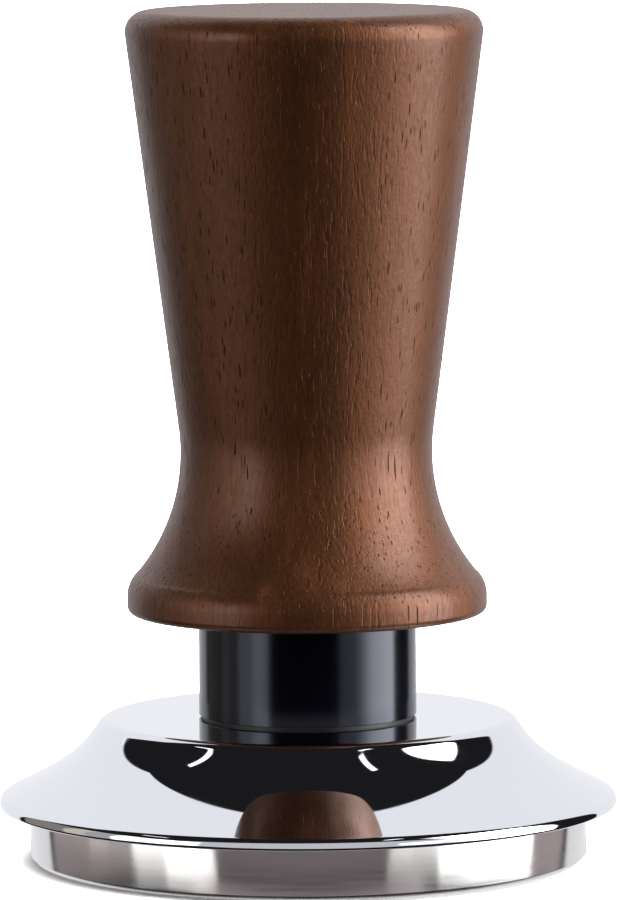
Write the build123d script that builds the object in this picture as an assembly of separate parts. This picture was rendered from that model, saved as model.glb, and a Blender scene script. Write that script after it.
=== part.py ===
from build123d import *
import os
from math import atan, cos, radians, sin, sqrt

# Spring-loaded espresso tamper, 58 mm class.
# Millimetres, +Z up. The origin is the centre of the flat tamping face, and every
# turned piece shares the Z axis. All heights are above the tamping face, at rest.

# Motion
PRESS_TRAVEL = 4.0            # handle towards the base, against the main spring
LIFT_TRAVEL = 4.5             # levelling flange up the stem, against its own spring

# Clearances
RUNNING = 0.05                # radial play of a shaft in its bush, and of a thread
FACE_GAP = 0.02               # between two flat faces that turn on each other
END_PLAY = 0.05               # left above the bumper with the handle fully down
COLLAR_HEADROOM = 0.7         # left above the collar with the handle down and the flange up

# Tamping base
BASE_RADIUS = 29.175          # 58.35 mm, for a 58 mm precision basket
BASE_SIDE_TOP = 5.4           # height of the full-size side
BASE_STEP_RADIUS = 28.3       # the part that nests in the flange rim
BASE_TOP = 6.6
BASE_EDGE = 0.5               # chamfer round the tamping face
BASE_UPPER_EDGES = 0.3        # chamfer round the step and round the hub
BASE_HUB_RADIUS = 14.5
BASE_HUB_TOP = 9.0
SPIGOT_HOLE_FLOOR = 3.5

# Levelling flange
RIM_RADIUS = 32.4
RIM_BOTTOM = 5.55
RIM_TOP = 6.45
RIM_BORE_RADIUS = 29.2
PLATEAU_RADIUS = 21.58
PLATEAU = 14.8
BELL_RIM_SLOPE = 27.0         # degrees above level where the bell leaves the rim
BELL_RIM_PULL = 8.8           # how far that slope is held toward the middle of the bell
BELL_SHOULDER_SLOPE = 55.0    # degrees above level where the bell meets the plateau
BELL_SHOULDER_PULL = 4.0      # how far that slope is held down the bell
SHELL_ARC_RADIUS = 23.2       # concave roof of the hollow below the bell
SHOULDER_ROUND = 1.9
RIM_UPPER_ROUND = 0.6
RIM_LOWER_ROUND = 0.3
FLANGE_HUB_RADIUS = 14.3
FLANGE_HUB_BOTTOM = 10.05
SHELL_ROOF = 12.4             # underside of the plateau
SHELL_ROOF_RADIUS = 19.4
SHELL_SEAT_RADIUS = 26.6
SHELL_SEAT = 6.9

# Guide collar
COLLAR_RADIUS = 11.4
COLLAR_FOOT = 15.3
COLLAR_TOP = 28.3
COLLAR_BORE_RADIUS = 10.3
COLLAR_SHELF = 16.0           # where the bush flange sits
COLLAR_THREAD_RADIUS = 10.6
COLLAR_THREAD_BOTTOM = 10.6
GASKET_RADIUS = 11.1
BUSH_RADIUS = 9.15
BUSH_BOTTOM = 10.8
BUSH_FLANGE = 1.0

# Stem
STEM_RADIUS = 8.0
STEM_TOP = 52.0
STEM_BORE_RADIUS = 6.6        # houses the main spring
STEM_FLOOR_BOTTOM = 18.5
STEM_FLOOR_TOP = 21.5
STEM_CHAMBER_RADIUS = 5.6     # houses the head of the tie bolt
STEM_SHOULDER_RADIUS = 9.3
STEM_SHOULDER_THICKNESS = 1.0
SPIGOT_RADIUS = 7.0           # M14 x 1
SPIGOT_BOTTOM = 3.6
SEAL_THICKNESS = 0.5
CIRCLIP_GROOVE_RADIUS = 7.4

# Springs
MAIN_SPRING_RADIUS = 5.3      # to the middle of the wire
MAIN_WIRE = 1.9
MAIN_SPRING_COILS = 10
LEVEL_SPRING_RADIUS = 9.1
LEVEL_WIRE = 0.9
LEVEL_SPRING_COILS = 5
SHIM_THICKNESS = 0.5
LEVEL_WASHER = 0.5
UPPER_WASHER_BOTTOM = 30.0
UPPER_WASHER_THICKNESS = 0.6
CIRCLIP_THICKNESS = 1.0

# Handle
TOTAL_HEIGHT = 88.8
HANDLE_BOTTOM = 25.8
HANDLE_TOP_RADIUS = 18.97     # of the taper, before its top edge is rounded
HANDLE_TAPER = 0.129          # loss of radius per millimetre down from the top
NECK_ARC_RADIUS = 20.0        # from the taper through the waist out to the foot
FOOT_RADIUS = 18.85
FOOT_LAND = 3.0
TOP_ROUND = 2.2
FOOT_UPPER_ROUND = 3.2
FOOT_LOWER_ROUND = 0.8
COUNTERBORE_RADIUS = 11.7
LINER_RADIUS = 9.4
LINER_LIP_RADIUS = 11.0
LINER_LIP = 1.0
LINER_WEB_BOTTOM = 58.0
LINER_TOP = 60.0
INSERT_RADIUS = 5.0
INSERT_TOP = 72.0
BUMPER_THICKNESS = 0.8

# Tie bolt, M6 x 50 socket head
BOLT_RADIUS = 3.0
BOLT_LENGTH = 50.0
BOLT_HEAD_RADIUS = 5.0
BOLT_HEAD = 6.0
BOLT_HOLE_RADIUS = 3.3
BOLT_WASHER = 1.0
SOCKET_ACROSS_FLATS = 5.0
SOCKET_DEPTH = 3.0

# Heights that follow from the stack of pieces
SHOULDER_BOTTOM = BASE_HUB_TOP + SEAL_THICKNESS
SHOULDER_TOP = SHOULDER_BOTTOM + STEM_SHOULDER_THICKNESS
BUSH_TOP = COLLAR_SHELF + BUSH_FLANGE
LOWER_WASHER_BOTTOM = BUSH_TOP + FACE_GAP
LOWER_WASHER_TOP = LOWER_WASHER_BOTTOM + LEVEL_WASHER
CIRCLIP_BOTTOM = UPPER_WASHER_BOTTOM + UPPER_WASHER_THICKNESS
CIRCLIP_TOP = CIRCLIP_BOTTOM + CIRCLIP_THICKNESS
SHIM_TOP = STEM_FLOOR_TOP + SHIM_THICKNESS
THRUST_TOP = LINER_WEB_BOTTOM - FACE_GAP
THRUST_BOTTOM = STEM_TOP + BUMPER_THICKNESS + PRESS_TRAVEL + END_PLAY
COUNTERBORE_ROOF = COLLAR_TOP + LIFT_TRAVEL + PRESS_TRAVEL + COLLAR_HEADROOM
BOLT_WASHER_TOP = STEM_FLOOR_BOTTOM - FACE_GAP
BOLT_HEAD_TOP = BOLT_WASHER_TOP - BOLT_WASHER


# ---------------------------------------------------------------- shared shapes

def turned(outline):
    """A solid of revolution about Z. The outline is drawn as (radius, height)."""
    return revolve(Plane.XZ * make_face(outline), Axis.Z)


def turned_polygon(*points):
    return turned(Polyline(*points, close=True))


def ring(inner, outer, bottom, top, edge=0.0):
    """A washer or sleeve, its four corners broken by a chamfer of size edge."""
    body = turned_polygon((inner, bottom), (outer, bottom), (outer, top), (inner, top))
    return chamfer(body.edges().filter_by(GeomType.CIRCLE), edge) if edge else body


def rounded(face, corner, radius):
    """The face with the vertex nearest to this corner rounded."""
    return fillet(face.vertices().sort_by_distance(corner)[0], radius)


def moved(point, angle, distance):
    """The point moved by a distance, at this many degrees from +X."""
    turn = radians(angle)
    return (point[0] + distance * cos(turn), point[1] + distance * sin(turn))


def thread_points(radius, bottom, top, pitch):
    """Crests and roots of a male thread, as (radius, height) points going up.

    The pitch is eased a little so that a whole number of turns fills the length."""
    turns = round((top - bottom) / pitch)
    step = (top - bottom) / turns
    root = radius - 0.54 * pitch
    points = []
    for turn in range(turns):
        low = bottom + turn * step
        points += [(root, low), (radius, low + 0.45 * step), (radius, low + 0.55 * step)]
    return points + [(root, top)]


def coil_spring(radius, wire, bottom, top, coils):
    """A round-wire compression spring with open ends, touching both heights."""
    rise = top - bottom - wire
    path = Helix(rise / coils, rise, radius, center=(0, 0, bottom + wire / 2))
    section = Plane(origin=path @ 0, z_dir=path % 0) * Circle(wire / 2)
    return sweep(section, path=path, is_frenet=True)


# ---------------------------------------------------------------- base and stem

def make_tamping_base():
    edge = BASE_UPPER_EDGES
    disc = turned_polygon(
        (0, 0), (BASE_RADIUS - BASE_EDGE, 0), (BASE_RADIUS, BASE_EDGE),
        (BASE_RADIUS, BASE_SIDE_TOP), (BASE_STEP_RADIUS, BASE_SIDE_TOP),
        (BASE_STEP_RADIUS, BASE_TOP - edge), (BASE_STEP_RADIUS - edge, BASE_TOP),
        (BASE_HUB_RADIUS, BASE_TOP), (BASE_HUB_RADIUS, BASE_HUB_TOP - edge),
        (BASE_HUB_RADIUS - edge, BASE_HUB_TOP), (0, BASE_HUB_TOP),
    )
    hole_radius = SPIGOT_RADIUS + RUNNING
    hole = turned_polygon(
        (0, SPIGOT_HOLE_FLOOR), (hole_radius, SPIGOT_HOLE_FLOOR),
        (hole_radius, BASE_HUB_TOP + 1), (0, BASE_HUB_TOP + 1),
    )
    return disc - hole


def make_stem():
    spigot_relief = SPIGOT_RADIUS - 0.7
    groove_top = CIRCLIP_TOP + 0.05
    outside = [
        (STEM_CHAMBER_RADIUS, SPIGOT_BOTTOM),
        *thread_points(SPIGOT_RADIUS, SPIGOT_BOTTOM, BASE_HUB_TOP - 0.5, 1.0),
        (spigot_relief, SHOULDER_BOTTOM), (STEM_SHOULDER_RADIUS, SHOULDER_BOTTOM),
        (STEM_SHOULDER_RADIUS, SHOULDER_TOP), (STEM_RADIUS, SHOULDER_TOP),
        (STEM_RADIUS, CIRCLIP_BOTTOM), (CIRCLIP_GROOVE_RADIUS, CIRCLIP_BOTTOM),
        (CIRCLIP_GROOVE_RADIUS, groove_top), (STEM_RADIUS, groove_top),
        (STEM_RADIUS, STEM_TOP - 0.5), (STEM_RADIUS - 0.5, STEM_TOP),
    ]
    inside = [
        (STEM_BORE_RADIUS, STEM_TOP), (STEM_BORE_RADIUS, STEM_FLOOR_TOP),
        (BOLT_HOLE_RADIUS, STEM_FLOOR_TOP), (BOLT_HOLE_RADIUS, STEM_FLOOR_BOTTOM),
        (STEM_CHAMBER_RADIUS, STEM_FLOOR_BOTTOM),
    ]
    return turned_polygon(*outside, *inside)


def make_stem_seal():
    return ring(SPIGOT_RADIUS + 0.1, STEM_SHOULDER_RADIUS, BASE_HUB_TOP, SHOULDER_BOTTOM)


def make_flange_buffer():
    inner = STEM_SHOULDER_RADIUS + 0.4
    return ring(inner, BASE_HUB_RADIUS - 0.4, BASE_HUB_TOP, FLANGE_HUB_BOTTOM - FACE_GAP, 0.15)


def make_circlip():
    opening = Pos(CIRCLIP_GROOVE_RADIUS + 1, 0, CIRCLIP_BOTTOM) * Box(
        4, 6, 4 * CIRCLIP_THICKNESS)
    outer = STEM_RADIUS + 1.6
    return ring(CIRCLIP_GROOVE_RADIUS + 0.02, outer, CIRCLIP_BOTTOM, CIRCLIP_TOP) - opening


def make_upper_spring_washer():
    return ring(STEM_RADIUS + RUNNING, STEM_RADIUS + 1.9, UPPER_WASHER_BOTTOM, CIRCLIP_BOTTOM)


def make_preload_shim():
    return ring(BOLT_HOLE_RADIUS + 0.1, STEM_BORE_RADIUS - 0.2, STEM_FLOOR_TOP, SHIM_TOP)


def make_bumper_ring():
    top = STEM_TOP + BUMPER_THICKNESS
    return ring(STEM_BORE_RADIUS + 0.1, STEM_RADIUS - 0.35, STEM_TOP, top, 0.15)


def make_main_spring():
    return coil_spring(
        MAIN_SPRING_RADIUS, MAIN_WIRE, SHIM_TOP, THRUST_BOTTOM, MAIN_SPRING_COILS)


def make_levelling_spring():
    return coil_spring(
        LEVEL_SPRING_RADIUS, LEVEL_WIRE, LOWER_WASHER_TOP, UPPER_WASHER_BOTTOM,
        LEVEL_SPRING_COILS)


# ---------------------------------------------------------------- levelling flange

def make_levelling_flange():
    rim_low, rim_high = (RIM_RADIUS, RIM_BOTTOM), (RIM_RADIUS, RIM_TOP)
    shoulder = (PLATEAU_RADIUS, PLATEAU)
    above_rim = moved(rim_high, 180 - BELL_RIM_SLOPE, BELL_RIM_PULL)
    below_shoulder = moved(shoulder, -BELL_SHOULDER_SLOPE, BELL_SHOULDER_PULL)
    hub_radius = COLLAR_THREAD_RADIUS + RUNNING
    outline = [
        Line((RIM_BORE_RADIUS, RIM_BOTTOM), rim_low),
        Line(rim_low, rim_high),
        Bezier(rim_high, above_rim, below_shoulder, shoulder),
        Polyline(
            shoulder, (hub_radius, PLATEAU), (hub_radius, FLANGE_HUB_BOTTOM),
            (FLANGE_HUB_RADIUS, FLANGE_HUB_BOTTOM), (FLANGE_HUB_RADIUS, SHELL_ROOF),
            (SHELL_ROOF_RADIUS, SHELL_ROOF)),
        RadiusArc(
            (SHELL_ROOF_RADIUS, SHELL_ROOF), (SHELL_SEAT_RADIUS, SHELL_SEAT),
            -SHELL_ARC_RADIUS),
        Polyline(
            (SHELL_SEAT_RADIUS, SHELL_SEAT), (RIM_BORE_RADIUS, SHELL_SEAT),
            (RIM_BORE_RADIUS, RIM_BOTTOM)),
    ]
    face = make_face(outline)
    face = rounded(face, rim_low, RIM_LOWER_ROUND)
    face = rounded(face, rim_high, RIM_UPPER_ROUND)
    face = rounded(face, shoulder, SHOULDER_ROUND)
    return revolve(Plane.XZ * face, Axis.Z)


def make_collar_gasket():
    return ring(COLLAR_THREAD_RADIUS + RUNNING, GASKET_RADIUS, PLATEAU, COLLAR_FOOT)


def make_guide_collar():
    bush_seat = BUSH_RADIUS + 0.02
    return turned_polygon(
        *thread_points(COLLAR_THREAD_RADIUS, COLLAR_THREAD_BOTTOM, PLATEAU - 0.5, 0.75),
        (COLLAR_THREAD_RADIUS - 0.45, COLLAR_FOOT), (COLLAR_RADIUS - 0.15, COLLAR_FOOT),
        (COLLAR_RADIUS, COLLAR_FOOT + 0.15), (COLLAR_RADIUS, COLLAR_TOP - 0.4),
        (COLLAR_RADIUS - 0.4, COLLAR_TOP), (COLLAR_BORE_RADIUS, COLLAR_TOP),
        (COLLAR_BORE_RADIUS, COLLAR_SHELF), (bush_seat, COLLAR_SHELF),
        (bush_seat, COLLAR_THREAD_BOTTOM),
    )


def make_flange_bush():
    bore, flange_radius = STEM_RADIUS + RUNNING, COLLAR_BORE_RADIUS - 0.1
    return turned_polygon(
        (bore, BUSH_BOTTOM), (BUSH_RADIUS, BUSH_BOTTOM), (BUSH_RADIUS, COLLAR_SHELF),
        (flange_radius, COLLAR_SHELF), (flange_radius, BUSH_TOP), (bore, BUSH_TOP),
    )


def make_lower_spring_washer():
    return ring(STEM_RADIUS + 0.3, COLLAR_BORE_RADIUS - 0.3, LOWER_WASHER_BOTTOM, LOWER_WASHER_TOP)


# ---------------------------------------------------------------- handle

def handle_outside():
    """The turned outside: taper, waist arc tangent to it, flared foot."""
    lean = atan(HANDLE_TAPER)
    along = Vector(sin(lean), cos(lean))
    outward = Vector(cos(lean), -sin(lean))
    top_corner = Vector(HANDLE_TOP_RADIUS, TOTAL_HEIGHT)
    land_top = Vector(FOOT_RADIUS, HANDLE_BOTTOM + FOOT_LAND)
    offset = land_top - top_corner
    clearance = offset.dot(outward)
    reach = sqrt(clearance * (2 * NECK_ARC_RADIUS - clearance))
    tangent_point = top_corner + along * (offset.dot(along) + reach)
    outline = [
        Line((0, HANDLE_BOTTOM), (FOOT_RADIUS, HANDLE_BOTTOM)),
        Line((FOOT_RADIUS, HANDLE_BOTTOM), land_top),
        RadiusArc(land_top, tangent_point, NECK_ARC_RADIUS),
        Line(tangent_point, top_corner),
        Line(top_corner, (0, TOTAL_HEIGHT)),
        Line((0, TOTAL_HEIGHT), (0, HANDLE_BOTTOM)),
    ]
    face = make_face(outline)
    face = rounded(face, (FOOT_RADIUS, HANDLE_BOTTOM), FOOT_LOWER_ROUND)
    face = rounded(face, land_top, FOOT_UPPER_ROUND)
    face = rounded(face, top_corner, TOP_ROUND)
    return revolve(Plane.XZ * face, Axis.Z)


def make_wooden_handle():
    liner_bore = LINER_RADIUS + RUNNING
    lip_bore = LINER_LIP_RADIUS + RUNNING
    insert_bore = INSERT_RADIUS + RUNNING
    blind_end = INSERT_TOP + 2
    mouth = 0.4
    bore = turned_polygon(
        (0, HANDLE_BOTTOM - 1), (COUNTERBORE_RADIUS + mouth, HANDLE_BOTTOM - 1),
        (COUNTERBORE_RADIUS + mouth, HANDLE_BOTTOM), (COUNTERBORE_RADIUS, HANDLE_BOTTOM + mouth),
        (COUNTERBORE_RADIUS, COUNTERBORE_ROOF), (lip_bore, COUNTERBORE_ROOF),
        (lip_bore, COUNTERBORE_ROOF + LINER_LIP), (liner_bore, COUNTERBORE_ROOF + LINER_LIP),
        (liner_bore, LINER_TOP), (insert_bore, LINER_TOP), (insert_bore, blind_end),
        (0, blind_end + insert_bore / 2),
    )
    return handle_outside() - bore


def make_handle_liner():
    bore = STEM_RADIUS + RUNNING
    return turned_polygon(
        (bore + 0.4, COUNTERBORE_ROOF), (LINER_LIP_RADIUS, COUNTERBORE_ROOF),
        (LINER_LIP_RADIUS, COUNTERBORE_ROOF + LINER_LIP),
        (LINER_RADIUS, COUNTERBORE_ROOF + LINER_LIP), (LINER_RADIUS, LINER_TOP),
        (BOLT_HOLE_RADIUS, LINER_TOP), (BOLT_HOLE_RADIUS, LINER_WEB_BOTTOM),
        (bore, LINER_WEB_BOTTOM), (bore, COUNTERBORE_ROOF + 0.4),
    )


def make_threaded_insert():
    bore = BOLT_RADIUS + RUNNING
    return turned_polygon(
        (bore, LINER_TOP), *thread_points(INSERT_RADIUS, LINER_TOP, INSERT_TOP, 1.5),
        (bore, INSERT_TOP),
    )


def make_tie_bolt():
    head_bottom = BOLT_HEAD_TOP - BOLT_HEAD
    shank_top = BOLT_HEAD_TOP + BOLT_LENGTH
    thread_bottom = LINER_TOP - 3
    bolt = turned_polygon(
        (0, head_bottom), (BOLT_HEAD_RADIUS - 0.4, head_bottom),
        (BOLT_HEAD_RADIUS, head_bottom + 0.4), (BOLT_HEAD_RADIUS, BOLT_HEAD_TOP),
        (BOLT_RADIUS, BOLT_HEAD_TOP), (BOLT_RADIUS, thread_bottom),
        *thread_points(BOLT_RADIUS, thread_bottom + 0.5, shank_top, 1.0), (0, shank_top),
    )
    hexagon = RegularPolygon(SOCKET_ACROSS_FLATS / 2, 6, major_radius=False)
    return bolt - Pos(0, 0, head_bottom) * extrude(hexagon, SOCKET_DEPTH)


def make_bolt_washer():
    return ring(BOLT_HOLE_RADIUS, STEM_CHAMBER_RADIUS - 0.3, BOLT_HEAD_TOP, BOLT_WASHER_TOP)


def make_thrust_washer():
    return ring(BOLT_HOLE_RADIUS, STEM_RADIUS - 0.25, THRUST_BOTTOM, THRUST_TOP)


# ---------------------------------------------------------------- write the pieces

PIECES = {
    "tamping_base": make_tamping_base,
    "stem": make_stem,
    "stem_seal": make_stem_seal,
    "flange_buffer": make_flange_buffer,
    "circlip": make_circlip,
    "upper_spring_washer": make_upper_spring_washer,
    "preload_shim": make_preload_shim,
    "bumper_ring": make_bumper_ring,
    "main_spring": make_main_spring,
    "levelling_spring": make_levelling_spring,
    "lower_spring_washer": make_lower_spring_washer,
    "levelling_flange": make_levelling_flange,
    "collar_gasket": make_collar_gasket,
    "guide_collar": make_guide_collar,
    "flange_bush": make_flange_bush,
    "thrust_washer": make_thrust_washer,
    "wooden_handle": make_wooden_handle,
    "handle_liner": make_handle_liner,
    "threaded_insert": make_threaded_insert,
    "tie_bolt": make_tie_bolt,
    "bolt_washer": make_bolt_washer,
}

os.makedirs("parts", exist_ok=True)
for name, make in PIECES.items():
    export_step(make(), f"parts/{name}.step")
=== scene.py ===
from math import asin, atan2, cos, hypot, pi, radians, sin, sqrt, tan

import bmesh
import bpy
from mathutils import Matrix, Vector


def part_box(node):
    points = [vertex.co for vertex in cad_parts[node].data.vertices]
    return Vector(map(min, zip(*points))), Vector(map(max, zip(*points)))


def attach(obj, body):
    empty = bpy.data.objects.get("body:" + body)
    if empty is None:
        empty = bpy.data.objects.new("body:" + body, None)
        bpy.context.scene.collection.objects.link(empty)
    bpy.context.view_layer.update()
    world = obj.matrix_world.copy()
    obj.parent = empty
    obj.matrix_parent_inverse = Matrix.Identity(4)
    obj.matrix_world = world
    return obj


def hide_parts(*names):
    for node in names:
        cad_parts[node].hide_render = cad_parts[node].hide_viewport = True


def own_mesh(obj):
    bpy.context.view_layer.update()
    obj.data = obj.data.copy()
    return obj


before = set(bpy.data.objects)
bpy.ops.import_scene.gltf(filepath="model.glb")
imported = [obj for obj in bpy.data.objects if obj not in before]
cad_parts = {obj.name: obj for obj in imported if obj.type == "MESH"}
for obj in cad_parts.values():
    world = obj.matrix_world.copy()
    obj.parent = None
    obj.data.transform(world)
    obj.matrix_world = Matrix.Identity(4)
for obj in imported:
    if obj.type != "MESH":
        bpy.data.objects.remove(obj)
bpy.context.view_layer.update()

MM = 0.001
ROUND_SEGMENTS = 384            # faces round a turned piece
SHARP_ANGLE = 28                # degrees between faces that meet at a crisp edge
COIL_SEGMENTS = 28              # faces along one coil of a spring
WIRE_SEGMENTS = 12              # faces round its wire

# ---------------------------------------------------------------- sizes, in millimetres

# Handle
TOTAL_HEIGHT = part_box("wooden_handle")[1].z / MM
HANDLE_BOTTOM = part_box("wooden_handle")[0].z / MM
HANDLE_TOP_RADIUS = 18.97       # of the taper, before its top edge is rounded
HANDLE_TAPER = 0.129            # loss of radius per millimetre down from the top
NECK_ARC_RADIUS = 20.0          # from the taper through the waist out to the foot
FOOT_RADIUS = 18.85
FOOT_LAND = 3.0
FOOT_LOWER_ROUND = 0.8
FOOT_UPPER_ROUND = 3.2
TOP_ROUND = 2.2
MOUTH_RADIUS = 12.1
COUNTERBORE_RADIUS = 11.7
COUNTERBORE_ROOF = 37.5
LINER_LIP_RADIUS = 11.05
LINER_RADIUS = 9.45
LINER_TOP = 60
INSERT_RADIUS = 5.05
INSERT_TOP = 74
BOLT_HOLE_TOP = 76.5

# Levelling flange
RIM_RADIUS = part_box("levelling_flange")[1].x / MM
RIM_BOTTOM = 5.55
RIM_TOP = 6.55
RIM_BORE_RADIUS = 29.2
RIM_LOWER_ROUND = 0.3
RIM_UPPER_ROUND = 0.95
BELL_RIM_SLOPE = 25.5           # degrees above level where the bell leaves the rim
BELL_RIM_PULL = 8.8             # how far that slope is held toward the middle of the bell
BELL_SHOULDER_SLOPE = 55        # degrees above level where the bell meets the plateau
BELL_SHOULDER_PULL = 4.0        # how far that slope is held down the bell
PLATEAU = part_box("levelling_flange")[1].z / MM
PLATEAU_RADIUS = 21.58
SHOULDER_ROUND = 1.4
FLANGE_BORE_RADIUS = 10.65
FLANGE_HUB_RADIUS = 14.3
FLANGE_HUB_BOTTOM = 10.05
SHELL_ROOF_RADIUS = 19.4
SHELL_ROOF = 12.4               # underside of the plateau
SHELL_ARC_RADIUS = 23.2         # concave roof of the hollow below the bell
SHELL_SEAT_RADIUS = 26.6
SHELL_SEAT = 6.9

# Collar
COLLAR_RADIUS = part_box("guide_collar")[1].x / MM
COLLAR_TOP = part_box("guide_collar")[1].z / MM
COLLAR_FOOT = 15.3
COLLAR_LIP = 0.2                # thin edge that hangs round the gasket
LIP_BOTTOM = 15.08
COLLAR_BORE_RADIUS = 10.3
COLLAR_SHELF = 16.0             # where the bush sits
COLLAR_NECK_RADIUS = 10.2       # the part inside the flange
COLLAR_NECK_BORE_RADIUS = 9.2
COLLAR_BOTTOM = 10.6
COLLAR_TOP_EDGE = 0.4

# Base
BASE_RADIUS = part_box("tamping_base")[1].x / MM
BASE_SIDE_TOP = 5.4
BASE_EDGE = 0.5                 # chamfer round the tamping face
BASE_STEP_RADIUS = 28.3         # the part that nests in the flange rim
BASE_TOP = 6.6
BASE_HUB_RADIUS = 14.5
BASE_HUB_TOP = 9.0
BASE_UPPER_EDGES = 0.3          # chamfer round the step and round the hub
SPIGOT_HOLE_RADIUS = 7.05
SPIGOT_HOLE_FLOOR = 3.5

# ---------------------------------------------------------------- outline and mesh helpers

def arc(start, end, radius, steps=48):
    """Points of the short arc from start to end. A positive radius bends it to the left of the way."""
    (x0, z0), (x1, z1) = start, end
    span = hypot(x1 - x0, z1 - z0)
    half = asin(span / 2 / radius)
    heading = atan2(z1 - z0, x1 - x0)
    points = []
    for step in range(steps + 1):
        turn = heading - half + 2 * half * step / steps
        points.append((
            x0 + radius * (sin(turn) - sin(heading - half)),
            z0 - radius * (cos(turn) - cos(heading - half))))
    return points


def bezier(start, start_angle, start_pull, end, end_angle, end_pull, steps=96):
    """Points of a cubic curve that leaves and meets its ends at these angles from +X."""
    def pulled(point, angle, pull):
        return Vector(point) + pull * Vector((cos(radians(angle)), sin(radians(angle))))

    a, d = Vector(start), Vector(end)
    b, c = pulled(a, start_angle, start_pull), pulled(d, end_angle, end_pull)
    shares = [step / steps for step in range(steps + 1)]
    return [tuple((1 - t) ** 3 * a + 3 * (1 - t) ** 2 * t * b + 3 * (1 - t) * t * t * c + t ** 3 * d)
            for t in shares]


def rounded(before, corner, after, radius, steps=12):
    """Points of the round that replaces a corner between two neighbours."""
    c = Vector(corner)
    u, v = (Vector(before) - c).normalized(), (Vector(after) - c).normalized()
    half = u.angle(v) / 2
    reach = radius / tan(half)
    centre = c + (u + v).normalized() * radius / sin(half)
    a, b = c + u * reach - centre, c + v * reach - centre
    turn = a.angle_signed(b)
    return [tuple(centre + Matrix.Rotation(-turn * k / steps, 2) @ a) for k in range(steps + 1)]


def subdivided(points, longest):
    """The outline with extra points, so that no step is longer than this."""
    out = [points[0]]
    for (x0, z0), (x1, z1) in zip(points, points[1:]):
        count = max(1, round(hypot(x1 - x0, z1 - z0) / longest))
        out += [(x0 + (x1 - x0) * k / count, z0 + (z1 - z0) * k / count) for k in range(1, count + 1)]
    return out


def new_piece(name, mesh):
    """An object with this mesh, smooth shaded and in the scene."""
    bmesh.ops.recalc_face_normals(mesh, faces=mesh.faces)
    data = bpy.data.meshes.new(name)
    mesh.to_mesh(data)
    mesh.free()
    data.shade_smooth()
    piece = bpy.data.objects.new(name, data)
    bpy.context.scene.collection.objects.link(piece)
    return piece


def lathe(name, outline, closed=True):
    """A turned mesh from (radius, height) points in millimetres, with its normals facing out."""
    mesh = bmesh.new()
    rings = []
    for radius, height in outline:
        if radius < 1e-6:
            rings.append([mesh.verts.new((0, 0, height * MM))])
            continue
        rings.append([
            mesh.verts.new((
                radius * MM * cos(2 * pi * k / ROUND_SEGMENTS),
                radius * MM * sin(2 * pi * k / ROUND_SEGMENTS), height * MM))
            for k in range(ROUND_SEGMENTS)])
    pairs = list(zip(rings, rings[1:]))
    if closed:
        pairs.append((rings[-1], rings[0]))
    for low, high in pairs:
        for k in range(ROUND_SEGMENTS):
            corners = [low[k % len(low)], low[(k + 1) % len(low)],
                       high[(k + 1) % len(high)], high[k % len(high)]]
            unique = list(dict.fromkeys(corners))
            if len(unique) > 2:
                mesh.faces.new(unique)
    piece = new_piece(name, mesh)
    piece.data.set_sharp_from_angle(angle=radians(SHARP_ANGLE))
    return piece


# ---------------------------------------------------------------- material helpers

class Shader:
    """A node material under construction."""

    def __init__(self, name):
        self.material = bpy.data.materials.new(name)
        self.material.use_nodes = True
        self.tree = self.material.node_tree
        self.surface = self.tree.nodes["Principled BSDF"]
        self.place = self.tree.nodes.new("ShaderNodeTexCoord").outputs["Object"]

    def node(self, kind, settings=None, **inputs):
        made = self.tree.nodes.new("ShaderNode" + kind)
        for key, value in (settings or {}).items():
            setattr(made, key, value)
        for key, value in inputs.items():
            self.feed(made, key.replace("_", " "), value)
        return made

    def feed(self, node, socket, value):
        target = node.inputs[int(socket[1:])] if socket[0] == "i" and socket[1:].isdigit() \
            else node.inputs[socket]
        if isinstance(value, bpy.types.NodeSocket):
            self.tree.links.new(value, target)
        else:
            target.default_value = value

    def set(self, **inputs):
        for key, value in inputs.items():
            self.feed(self.surface, key.replace("_", " "), value)

    def math(self, operation, a, b=0.0, c=0.0):
        return self.node("Math", {"operation": operation}, i0=a, i1=b, i2=c).outputs[0]

    def stretched(self, x, y, z, offset=0.0):
        """Object coordinates scaled per axis, in cells per millimetre."""
        scale = (x / MM, y / MM, z / MM)
        return self.node("Mapping", None, Vector=self.place, Scale=scale,
                         Location=(offset, offset * 0.7, offset * 1.3)).outputs[0]

    def noise(self, vector, detail, roughness=0.5):
        return self.node("TexNoise", None, Vector=vector, Scale=1.0, Detail=detail,
                         Roughness=roughness).outputs["Fac"]

    def remap(self, value, low, high, out_low=0.0, out_high=1.0, smooth=False):
        made = self.node("MapRange", {"interpolation_type": "SMOOTHSTEP" if smooth else "LINEAR"},
                         Value=value, From_Min=low, From_Max=high, To_Min=out_low, To_Max=out_high)
        return made.outputs[0]

    def ramp(self, value, *stops):
        made = self.node("ValToRGB", None, Fac=value)
        ramp = made.color_ramp
        while len(ramp.elements) < len(stops):
            ramp.elements.new(0.5)
        for element, (position, color) in zip(ramp.elements, stops):
            element.position = position
            element.color = (*color, 1)
        return made.outputs["Color"]

    def mix(self, factor, a, b):
        made = self.tree.nodes.new("ShaderNodeMix")
        made.data_type = "RGBA"
        color_inputs = [i for i in made.inputs if i.type == "RGBA"]
        for target, value in ((made.inputs[0], factor), (color_inputs[0], a), (color_inputs[1], b)):
            if isinstance(value, bpy.types.NodeSocket):
                self.tree.links.new(value, target)
            else:
                target.default_value = (*value, 1) if isinstance(value, tuple) else value
        return [o for o in made.outputs if o.type == "RGBA"][0]

    def bump(self, height, distance, strength=1.0):
        self.set(Normal=self.node("Bump", None, Height=height, Distance=distance * MM,
                                  Strength=strength).outputs[0])


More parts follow.
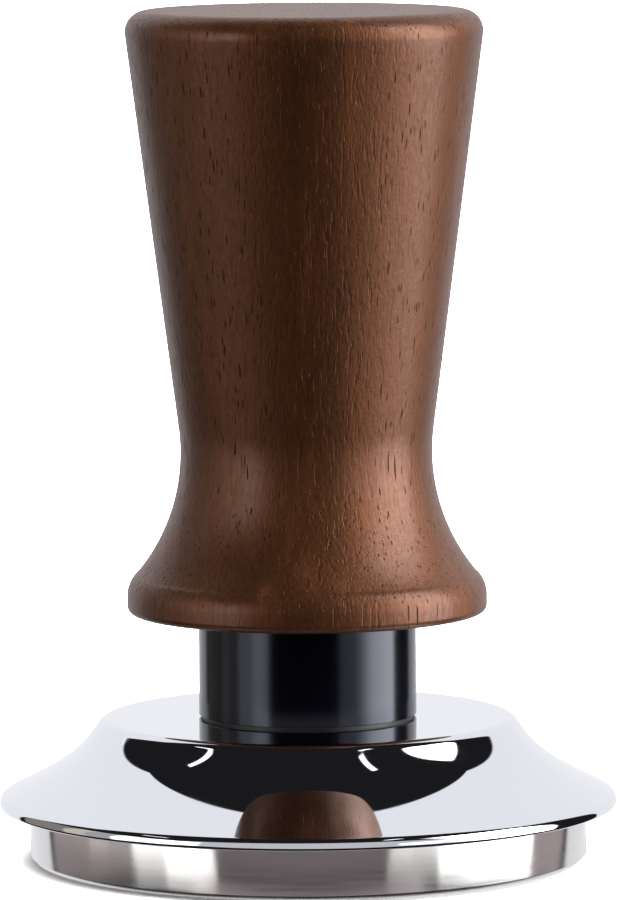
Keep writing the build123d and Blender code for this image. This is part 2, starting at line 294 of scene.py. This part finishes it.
def walnut():
    """Dark oiled walnut with its grain along Z: open pores, fine fibre and a soft broad figure.

    Its fibres return a warm broad sheen. The oil on top adds a tighter white one."""
    s = Shader("walnut")
    warp = s.noise(s.stretched(0.10, 0.10, 0.010), detail=2.0)
    drawn = s.node("VectorMath", {"operation": "ADD"}, i0=s.stretched(0.26, 0.26, 0.012),
                   i1=warp).outputs[0]
    figure = s.noise(drawn, detail=4.0, roughness=0.6)
    fibre = s.noise(s.stretched(3.2, 3.2, 0.16, 7.0), detail=4.0, roughness=0.65)
    mottle = s.noise(s.stretched(2.3, 2.3, 1.2, 2.0), detail=4.0, roughness=0.72)
    lines = s.noise(s.stretched(1.9, 1.9, 0.14, 11.0), detail=2.0)
    streaks = s.remap(lines, 0.42, 0.34, smooth=True)
    crowded = s.remap(figure, 0.38, 0.60, 0.50, 0.12)
    long_pores = pores(s, cell=0.50, length=9.0, share=crowded, offset=3.0)
    short_pores = pores(s, cell=0.42, length=4.0, share=crowded, offset=29.0)
    open_grain = s.math("MAXIMUM", long_pores, short_pores)
    tone = s.ramp(
        figure,
        (0.34, (0.009, 0.0036, 0.0009)),
        (0.44, (0.020, 0.0072, 0.0018)),
        (0.56, (0.034, 0.0115, 0.0030)),
        (0.68, (0.080, 0.0268, 0.0080)))
    fibred = s.mix(s.remap(fibre, 0.42, 0.62, 0.0, 0.75), tone, (0.012, 0.0040, 0.0013))
    mottled = s.mix(s.remap(mottle, 0.45, 0.75, 0.0, 0.5), fibred, (0.070, 0.0235, 0.0080))
    lined = s.mix(s.math("MULTIPLY", streaks, 0.7), mottled, (0.007, 0.0022, 0.0008))
    color = s.mix(s.math("MULTIPLY", open_grain, 0.9), lined, (0.0025, 0.0009, 0.0005))
    relief = s.math("MULTIPLY_ADD", mottle, 0.30, s.math("MULTIPLY", fibre, 0.16))
    sunk = s.math("MULTIPLY_ADD", streaks, 0.10, s.math("MULTIPLY", open_grain, 0.16))
    height = s.math("SUBTRACT", relief, sunk)
    s.set(Base_Color=color, IOR=1.60, Specular_IOR_Level=1.0, Specular_Tint=(1.0, 0.37, 0.17, 1),
          Coat_Roughness=0.26, Coat_IOR=1.5)
    oiled = s.remap(mottle, 0.35, 0.65, 0.18, 0.38)
    s.set(Roughness=s.math("MULTIPLY_ADD", open_grain, 0.4, s.remap(fibre, 0.3, 0.7, 0.44, 0.54)),
          Coat_Weight=s.math("MULTIPLY", oiled, s.math("SUBTRACT", 1.0, open_grain)))
    s.bump(height, 0.20, 1.0)
    return s.material


def pores(s, cell, length, share, offset):
    """Open vessels: ellipsoids along Z, one to a cell, kept where a random draw beats the share."""
    place = s.stretched(1 / cell, 1 / cell, 1 / length, offset)
    cells = s.node("TexVoronoi", {"feature": "F1"}, Vector=place, Scale=1.0, Randomness=1.0)
    draw = s.node("SeparateColor", None, Color=cells.outputs["Color"])
    size = s.math("MULTIPLY_ADD", draw.outputs[1], 0.14, 0.12)
    inside = s.math("SUBTRACT", 1.0, s.math("DIVIDE", cells.outputs["Distance"], size))
    return s.math("MULTIPLY", s.remap(inside, 0.0, 0.4, smooth=True),
                  s.math("GREATER_THAN", draw.outputs[0], share))


def black_anodised():
    """Blue-black anodised aluminium, with faint turning lines under a satin shine."""
    s = Shader("black_anodised")
    lines = s.noise(s.stretched(0.02, 0.02, 9.0), detail=2.0)
    tint = s.mix(lines, (0.0010, 0.0012, 0.0028), (0.0018, 0.0020, 0.0044))
    s.set(Base_Color=tint, IOR=1.42, Specular_Tint=(0.78, 0.82, 1.0, 1),
          Roughness=s.remap(lines, 0.3, 0.7, 0.15, 0.20))
    s.bump(lines, 0.004)
    return s.material


def mirror_chrome():
    """Polished plate: nearly perfect mirror, with faint polishing haze."""
    s = Shader("mirror_chrome")
    haze = s.noise(s.stretched(0.35, 0.35, 0.35), detail=4.0, roughness=0.6)
    s.set(Base_Color=(0.80, 0.81, 0.835, 1), Metallic=1.0,
          Roughness=s.remap(haze, 0.35, 0.75, 0.018, 0.05))
    return s.material


def brushed_side():
    """Stainless steel turned on a lathe: fine rings round Z, which draw reflections out along Z."""
    s = Shader("brushed_stainless")
    rings = s.noise(s.stretched(0.03, 0.03, 14.0), detail=3.0, roughness=0.7)
    broad = s.noise(s.stretched(0.15, 0.15, 2.5), detail=2.0)
    tone = s.mix(rings, (0.60, 0.58, 0.565), (0.72, 0.705, 0.69))
    s.set(Base_Color=tone, Metallic=1.0, Roughness=s.remap(broad, 0.3, 0.7, 0.14, 0.19),
          Anisotropic=1.0, Anisotropic_Rotation=0.25)
    tangent = s.node("Tangent", {"direction_type": "RADIAL", "axis": "Z"}).outputs[0]
    s.set(Tangent=tangent)
    s.bump(rings, 0.0008)
    return s.material


def plain_metal(name, color, roughness):
    """Machined metal of a hidden piece, with faint tool marks."""
    s = Shader(name)
    marks = s.noise(s.stretched(0.05, 0.05, 8.0), detail=3.0)
    low = tuple(channel * 0.86 for channel in color)
    s.set(Base_Color=s.mix(marks, low, color), Metallic=1.0,
          Roughness=s.remap(marks, 0.3, 0.7, roughness - 0.05, roughness + 0.05))
    s.bump(marks, 0.004)
    return s.material


def soft_polymer(name, color, roughness):
    """Rubber or acetal, with a fine moulded grain."""
    s = Shader(name)
    grain = s.noise(s.stretched(5.0, 5.0, 5.0), detail=2.0)
    low = tuple(channel * 0.85 for channel in color)
    s.set(Base_Color=s.mix(grain, low, color), IOR=1.5,
          Roughness=s.remap(grain, 0.3, 0.7, roughness - 0.06, roughness + 0.06))
    s.bump(grain, 0.01)
    return s.material


# ---------------------------------------------------------------- pieces

def handle_outline():
    """The handle's outside from its foot up to its top: foot, flare, waist, taper and top edge."""
    slope = sqrt(1 + HANDLE_TAPER ** 2)
    along = Vector((HANDLE_TAPER, 1)) / slope
    outward = Vector((1, -HANDLE_TAPER)) / slope
    top = Vector((HANDLE_TOP_RADIUS, TOTAL_HEIGHT))
    land_top = Vector((FOOT_RADIUS, HANDLE_BOTTOM + FOOT_LAND))
    offset = land_top - top
    clearance = offset.dot(outward)
    reach = sqrt(clearance * (2 * NECK_ARC_RADIUS - clearance))
    tangent = top + along * (offset.dot(along) + reach)
    neck = arc(tuple(land_top), tuple(tangent), -NECK_ARC_RADIUS, 90)
    foot = (FOOT_RADIUS, HANDLE_BOTTOM)
    lower = rounded((0, HANDLE_BOTTOM), foot, tuple(land_top), FOOT_LOWER_ROUND)
    flare = rounded(foot, tuple(land_top), neck[14], FOOT_UPPER_ROUND, 16)
    start = Vector(flare[-1])
    neck = [p for p in neck if p[1] > start.y + 0.1]
    upper = rounded(tuple(tangent), tuple(top), (0, TOTAL_HEIGHT), TOP_ROUND, 16)
    return [*lower, *flare, *neck, *upper]


def make_handle():
    outside = handle_outline()
    lip_top = COUNTERBORE_ROOF + 1
    inside = [
        (0, BOLT_HOLE_TOP), (INSERT_RADIUS, INSERT_TOP), (INSERT_RADIUS, LINER_TOP),
        (LINER_RADIUS, LINER_TOP), (LINER_RADIUS, lip_top), (LINER_LIP_RADIUS, lip_top),
        (LINER_LIP_RADIUS, COUNTERBORE_ROOF), (COUNTERBORE_RADIUS, COUNTERBORE_ROOF),
        (COUNTERBORE_RADIUS, HANDLE_BOTTOM + 0.4), (MOUTH_RADIUS, HANDLE_BOTTOM)]
    piece = lathe("walnut_handle", subdivided(outside + [(0, TOTAL_HEIGHT)], 1.2) + inside)
    piece.data.materials.append(walnut())
    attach(piece, "handle")
    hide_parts("wooden_handle")


def make_flange():
    rim_low, rim_high = (RIM_RADIUS, RIM_BOTTOM), (RIM_RADIUS, RIM_TOP)
    shoulder = (PLATEAU_RADIUS, PLATEAU)
    bell = bezier(rim_high, 180 - BELL_RIM_SLOPE, BELL_RIM_PULL,
                  shoulder, -BELL_SHOULDER_SLOPE, BELL_SHOULDER_PULL)
    low_round = rounded((RIM_BORE_RADIUS, RIM_BOTTOM), rim_low, rim_high, RIM_LOWER_ROUND, 8)
    high_round = rounded(rim_low, rim_high, bell[3], RIM_UPPER_ROUND, 20)
    top_round = rounded(bell[-6], shoulder, (0, PLATEAU), SHOULDER_ROUND, 16)
    middle = [p for p in bell if high_round[-1][1] + 0.03 < p[1] < top_round[0][1] - 0.03]
    plateau = subdivided([top_round[-1], (FLANGE_BORE_RADIUS, PLATEAU)], 1.5)
    roof_edge, seat_edge = (SHELL_ROOF_RADIUS, SHELL_ROOF), (SHELL_SEAT_RADIUS, SHELL_SEAT)
    underside = [
        (FLANGE_BORE_RADIUS, FLANGE_HUB_BOTTOM), (FLANGE_HUB_RADIUS, FLANGE_HUB_BOTTOM),
        (FLANGE_HUB_RADIUS, SHELL_ROOF), roof_edge,
        *arc(roof_edge, seat_edge, SHELL_ARC_RADIUS, 24)[1:], (RIM_BORE_RADIUS, SHELL_SEAT)]
    outline = [
        (RIM_BORE_RADIUS, RIM_BOTTOM), *low_round, *high_round, *middle, *top_round,
        *plateau[1:], *underside]
    piece = lathe("mirror_flange", outline)
    piece.data.materials.append(mirror_chrome())
    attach(piece, "flange")
    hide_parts("levelling_flange")
    return piece


def make_collar():
    lip_radius = COLLAR_RADIUS - COLLAR_LIP
    outline = [
        (COLLAR_NECK_BORE_RADIUS, COLLAR_BOTTOM), (COLLAR_NECK_RADIUS, COLLAR_BOTTOM),
        (COLLAR_NECK_RADIUS, COLLAR_FOOT), (lip_radius, COLLAR_FOOT), (lip_radius, LIP_BOTTOM),
        (COLLAR_RADIUS - 0.05, LIP_BOTTOM), (COLLAR_RADIUS, LIP_BOTTOM + 0.05),
        (COLLAR_RADIUS, COLLAR_TOP - COLLAR_TOP_EDGE), (COLLAR_RADIUS - COLLAR_TOP_EDGE, COLLAR_TOP),
        (COLLAR_BORE_RADIUS, COLLAR_TOP), (COLLAR_BORE_RADIUS, COLLAR_SHELF),
        (COLLAR_NECK_BORE_RADIUS, COLLAR_SHELF)]
    piece = lathe("anodised_collar", outline)
    piece.data.materials.append(black_anodised())
    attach(piece, "flange")
    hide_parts("guide_collar")


def make_base():
    edge = BASE_UPPER_EDGES
    outline = [
        (0, 0), (BASE_RADIUS - BASE_EDGE, 0), (BASE_RADIUS - 0.45, 0.02), (BASE_RADIUS - 0.03, 0.44),
        (BASE_RADIUS, BASE_EDGE), (BASE_RADIUS, BASE_SIDE_TOP), (BASE_STEP_RADIUS, BASE_SIDE_TOP),
        (BASE_STEP_RADIUS, BASE_TOP - edge), (BASE_STEP_RADIUS - edge, BASE_TOP),
        (BASE_HUB_RADIUS, BASE_TOP), (BASE_HUB_RADIUS, BASE_HUB_TOP - edge),
        (BASE_HUB_RADIUS - edge, BASE_HUB_TOP), (SPIGOT_HOLE_RADIUS, BASE_HUB_TOP),
        (SPIGOT_HOLE_RADIUS, SPIGOT_HOLE_FLOOR), (0, SPIGOT_HOLE_FLOOR)]
    piece = lathe("stainless_base", outline, closed=False)
    piece.data.materials.append(brushed_side())
    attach(piece, "base")
    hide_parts("tamping_base")
    return piece


def spring_centres(low, high, wire, coils):
    """Turn and height of points along the wire's middle. The two end coils are closed."""
    closed_share = 1 / coils
    lead = wire * 0.9               # rise of a closed coil
    steps = coils * COIL_SEGMENTS
    centres = []
    for step in range(steps + 1):
        t = step / steps
        if t < closed_share:
            height = low + lead * t / closed_share
        elif t > 1 - closed_share:
            height = high - lead * (1 - t) / closed_share
        else:
            rise = high - low - 2 * lead
            height = low + lead + rise * (t - closed_share) / (1 - 2 * closed_share)
        centres.append((2 * pi * coils * t, height))
    return centres


def make_spring(name, node, radius, wire, coils):
    """A compression spring over the CAD node's height, fixed to the base."""
    low, high = (corner.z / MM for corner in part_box(node))
    mesh = bmesh.new()
    loops = []
    for turn, height in spring_centres(low + wire / 2, high - wire / 2, wire, coils):
        out = Vector((cos(turn), sin(turn), 0))
        loops.append([
            mesh.verts.new((
                out * (radius + wire / 2 * cos(2 * pi * k / WIRE_SEGMENTS))
                + Vector((0, 0, height + wire / 2 * sin(2 * pi * k / WIRE_SEGMENTS)))) * MM)
            for k in range(WIRE_SEGMENTS)])
    for a, b in zip(loops, loops[1:]):
        for k in range(WIRE_SEGMENTS):
            mesh.faces.new((a[k], a[(k + 1) % WIRE_SEGMENTS], b[(k + 1) % WIRE_SEGMENTS], b[k]))
    mesh.faces.new(loops[0])
    mesh.faces.new(loops[-1])
    piece = new_piece(name, mesh)
    piece.data.materials.append(plain_metal(name + "_wire", (0.42, 0.42, 0.44), 0.3))
    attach(piece, "base")
    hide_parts(node)
    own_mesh(piece)


def finish_inner_nodes():
    """Materials for the CAD nodes that stay."""
    steel = plain_metal("machined_steel", (0.55, 0.55, 0.56), 0.3)
    dark_steel = plain_metal("spring_temper", (0.3, 0.3, 0.32), 0.35)
    aluminium = plain_metal("turned_aluminium", (0.72, 0.73, 0.74), 0.32)
    bronze = plain_metal("turned_bronze", (0.62, 0.42, 0.2), 0.3)
    rubber = soft_polymer("black_rubber", (0.006, 0.006, 0.007), 0.5)
    acetal = soft_polymer("white_acetal", (0.78, 0.78, 0.75), 0.4)
    finishes = {
        steel: ("stem", "upper_spring_washer", "preload_shim", "lower_spring_washer", "tie_bolt",
                "bolt_washer"),
        dark_steel: ("circlip",),
        aluminium: ("handle_liner",),
        bronze: ("thrust_washer", "threaded_insert"),
        rubber: ("stem_seal", "bumper_ring", "collar_gasket"),
        acetal: ("flange_buffer", "flange_bush"),
    }
    for material, names in finishes.items():
        for name in names:
            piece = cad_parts[name]
            piece.data.materials.clear()
            piece.data.materials.append(material)


# ---------------------------------------------------------------- studio

def make_floor():
    """A pale floor. The object neither sees it nor is shaded by it."""
    data = bpy.data.meshes.new("floor")
    half = 6.0
    corners = [(-half, -half, 0), (half, -half, 0), (half, half, 0), (-half, half, 0)]
    data.from_pydata(corners, [], [(0, 1, 2, 3)])
    floor = bpy.data.objects.new("floor", data)
    bpy.context.scene.collection.objects.link(floor)
    s = Shader("pale_floor")
    s.set(Base_Color=(0.95, 0.95, 0.95, 1), Roughness=0.9)
    floor.data.materials.append(s.material)
    floor.visible_glossy = False
    floor.visible_diffuse = False
    floor.visible_shadow = False
    return floor


def only_for(lamp, receiver):
    """Let a lamp light one piece and nothing else."""
    receivers = bpy.data.collections.new(lamp.name + "_receivers")
    receivers.objects.link(receiver)
    lamp.light_linking.receiver_collection = receivers


def make_overhead_light(name, energy, receiver=None):
    """A broad soft light from straight above, which no mirror sees."""
    light = bpy.data.lights.new(name, "SUN")
    light.angle = radians(70)
    light.energy = energy
    lamp = bpy.data.objects.new(name, light)
    lamp.rotation_euler = (radians(-12), 0, 0)
    lamp.visible_glossy = False
    bpy.context.scene.collection.objects.link(lamp)
    if receiver:
        only_for(lamp, receiver)


class Surroundings:
    """The studio's walls as panels of light, painted on the world by direction.

    A panel lies on one wall of a room round the object. Its place on the wall is given as a share of
    the wall's distance: across the wall, and up it from the object's height."""

    WALLS = {"back": ("Y", 1, "X", "Z"), "left": ("X", -1, "Y", "Z"), "right": ("X", 1, "Y", "Z"),
             "ceiling": ("Z", 1, "X", "Y")}

    def __init__(self, ambient):
        world = bpy.data.worlds.new("studio")
        bpy.context.scene.world = world
        world.use_nodes = True
        self.tree = world.node_tree
        place = self.tree.nodes.new("ShaderNodeTexCoord").outputs["Generated"]
        self.split = self.tree.nodes.new("ShaderNodeSeparateXYZ")
        self.tree.links.new(place, self.split.inputs[0])
        self.background = self.tree.nodes["Background"]
        self.total = ambient

    def math(self, operation, a, b=0.0):
        made = self.tree.nodes.new("ShaderNodeMath")
        made.operation = operation
        for target, value in zip(made.inputs, (a, b)):
            if isinstance(value, bpy.types.NodeSocket):
                self.tree.links.new(value, target)
            else:
                target.default_value = value
        return made.outputs[0]

    def above(self, value, edge, soft):
        """0 below the edge and 1 above it, over a soft width."""
        made = self.tree.nodes.new("ShaderNodeMapRange")
        made.interpolation_type = "SMOOTHSTEP"
        self.tree.links.new(value, made.inputs["Value"])
        made.inputs["From Min"].default_value = edge - soft / 2
        made.inputs["From Max"].default_value = edge + soft / 2
        return made.outputs[0]

    def panel(self, wall, across, up, color, soft=0.05, front_soft=None, flare=0.0, droop=0.0):
        """Light one panel. A flare widens it evenly to both sides on the way up. A droop lowers its
        top edge across the wall, or to both sides of a flared panel."""
        facing, sign, u_axis, v_axis = self.WALLS[wall]
        toward = self.math("MULTIPLY", self.split.outputs[facing], sign)
        depth = self.math("MAXIMUM", toward, 1e-4)
        u = self.math("DIVIDE", self.split.outputs[u_axis], depth)
        v = self.math("DIVIDE", self.split.outputs[v_axis], depth)
        if flare:
            u = self.math("ABSOLUTE", u)
        top = self.math("ADD", v, self.math("MULTIPLY", u, droop))
        if flare:
            u = self.math("SUBTRACT", u, self.math("MULTIPLY", v, flare))
        low_soft = front_soft or soft
        masks = [
            self.above(toward, 0.001, 0.001),
            self.above(u, across[0], low_soft),
            self.math("SUBTRACT", 1.0, self.above(u, across[1], soft)),
            self.above(v, up[0], soft),
            self.math("SUBTRACT", 1.0, self.above(top, up[1], soft))]
        mask = masks[0]
        for other in masks[1:]:
            mask = self.math("MULTIPLY", mask, other)
        self.add(mask, color)

    def add(self, mask, color):
        """Add this colour to the light already there, where the mask is 1."""
        scaled = self.tree.nodes.new("ShaderNodeVectorMath")
        scaled.operation = "SCALE"
        scaled.inputs[0].default_value = color
        self.tree.links.new(mask, scaled.inputs["Scale"])
        added = self.tree.nodes.new("ShaderNodeVectorMath")
        added.operation = "ADD"
        self.tree.links.new(scaled.outputs[0], added.inputs[0])
        if isinstance(self.total, tuple):
            added.inputs[1].default_value = self.total
        else:
            self.tree.links.new(self.total, added.inputs[1])
        self.total = added.outputs[0]
        self.tree.links.new(self.total, self.background.inputs["Color"])

    def show(self, radiance):
        """What is seen past the floor's edge, in place of the panels: one even white."""
        nodes, links = self.tree.nodes, self.tree.links
        pale = nodes.new("ShaderNodeBackground")
        pale.inputs["Color"].default_value = (1.0, 1.0, 1.0, 1.0)
        pale.inputs["Strength"].default_value = radiance
        chosen = nodes.new("ShaderNodeMixShader")
        links.new(nodes.new("ShaderNodeLightPath").outputs["Is Camera Ray"], chosen.inputs[0])
        links.new(self.background.outputs[0], chosen.inputs[1])
        links.new(pale.outputs[0], chosen.inputs[2])
        links.new(chosen.outputs[0], nodes["World Output"].inputs["Surface"])


def make_world():
    """White back, tall bright light at the right, narrower ones at the left, two strips above."""
    studio = Surroundings((0.012, 0.012, 0.014))
    white, cool, warm = (1.0, 1.0, 1.0), (0.97, 0.98, 1.02), (1.0, 0.90, 0.82)

    def bright(color, radiance):
        return tuple(channel * radiance for channel in color)

    studio.panel("back", (-9, 1.03), (-2.5, 2.23), bright(cool, 0.95), 0.07, flare=0.30,
                 droop=0.15)
    studio.panel("right", (-0.50, 0.25), (-0.25, 1.13), bright(white, 8.0), 0.06, front_soft=0.6,
                 droop=0.5)
    studio.panel("right", (-1.50, -0.60), (-0.30, 0.40), bright(white, 1.0), 0.2)
    studio.panel("left", (-1.12, -0.58), (-0.25, 0.60), bright(white, 3.4), 0.15)
    studio.panel("left", (-0.58, -0.21), (-0.25, 0.60), bright(white, 1.6), 0.03)
    studio.panel("left", (-0.21, 0.02), (-0.25, 0.60), bright(white, 0.40), 0.03)
    studio.panel("left", (0.02, 0.23), (-0.25, 0.60), bright(warm, 0.60), 0.03)
    studio.panel("left", (0.23, 0.84), (-0.25, 0.60), bright(warm, 0.24), 0.03)
    studio.panel("ceiling", (-0.80, -0.755), (-0.25, 0.02), bright(white, 2.5), 0.02)
    studio.panel("ceiling", (0.39, 0.43), (-0.45, -0.22), bright(white, 2.5), 0.02)
    studio.show(1.0)


def make_card(name, receiver, radiance, color, size, azimuth, height, lean):
    """A pale card 1.1 m away that only one piece catches.

    Azimuth runs from the front toward +X. Lean tips the card up from level. Both in degrees."""
    distance = 1.1
    light = bpy.data.lights.new(name, "AREA")
    light.shape = "RECTANGLE"
    light.size, light.size_y = size
    light.energy = radiance * pi * light.size * light.size_y
    light.color = color
    lamp = bpy.data.objects.new(name, light)
    turn = radians(azimuth)
    lamp.location = (distance * sin(turn), -distance * cos(turn), height)
    lamp.rotation_euler = (radians(90 + lean), 0, turn)
    bpy.context.scene.collection.objects.link(lamp)
    only_for(lamp, receiver)


def make_cards(flange, base):
    """A card for the rim's edge, and low cards for the base's side and foot."""
    lilac, blush, white = (0.96, 0.95, 1.0), (1.0, 0.87, 0.91), (1.0, 1.0, 1.0)
    make_card("rim_card", flange, 0.62, lilac, (2.6, 1.3), 3, 0.28, -13)
    make_card("base_front", base, 0.22, blush, (1.9, 0.6), 2, -0.18, 9)
    make_card("base_right", base, 2.4, white, (1.0, 0.6), 81, -0.20, 10)
    make_card("base_right_edge", base, 0.6, white, (0.5, 0.6), 46, -0.20, 10)
    make_card("base_left", base, 2.0, white, (0.42, 0.6), -50, -0.20, 10)
    make_card("base_left_edge", base, 0.9, white, (0.3, 0.6), -69, -0.20, 10)
    make_card("base_left_far", base, 0.30, blush, (1.1, 0.6), -105, -0.20, 10)
    make_card("base_right_far", base, 0.45, blush, (0.5, 0.6), 118, -0.20, 10)
    make_card("base_foot", base, 0.50, blush, (3.2, 0.9), 0, -1.35, 51)


def make_camera():
    """A long lens, a little above the handle's middle, tipped a touch as the picture is."""
    distance, height, aside = 0.780, 0.1267, 0.00033        # metres
    pitch, roll = 6.14, -0.32                               # degrees
    cam = bpy.data.cameras.new("camera")
    cam.sensor_width = 36
    cam.lens = 300.2
    cam.clip_start, cam.clip_end = 0.05, 50
    seat = bpy.data.objects.new("camera", cam)
    tilt = Matrix.Rotation(radians(90 - pitch), 4, "X")
    turned = Matrix.Rotation(radians(roll), 4, "Z")
    seat.matrix_world = Matrix.Translation((aside, -distance, height)) @ tilt @ turned
    bpy.context.scene.collection.objects.link(seat)
    bpy.context.scene.camera = seat


make_handle()
mirror_flange = make_flange()
make_collar()
stainless_base = make_base()
make_spring("coil_main", "main_spring", radius=5.3, wire=1.9, coils=10)
make_spring("coil_levelling", "levelling_spring", radius=9.1, wire=0.9, coils=5)
finish_inner_nodes()
pale_floor = make_floor()
make_world()
make_overhead_light("overhead", 3.9)
make_overhead_light("floor_wash", 14.0, pale_floor)
make_cards(mirror_flange, stainless_base)
make_camera()
bpy.context.scene.view_settings.view_transform = "Standard"
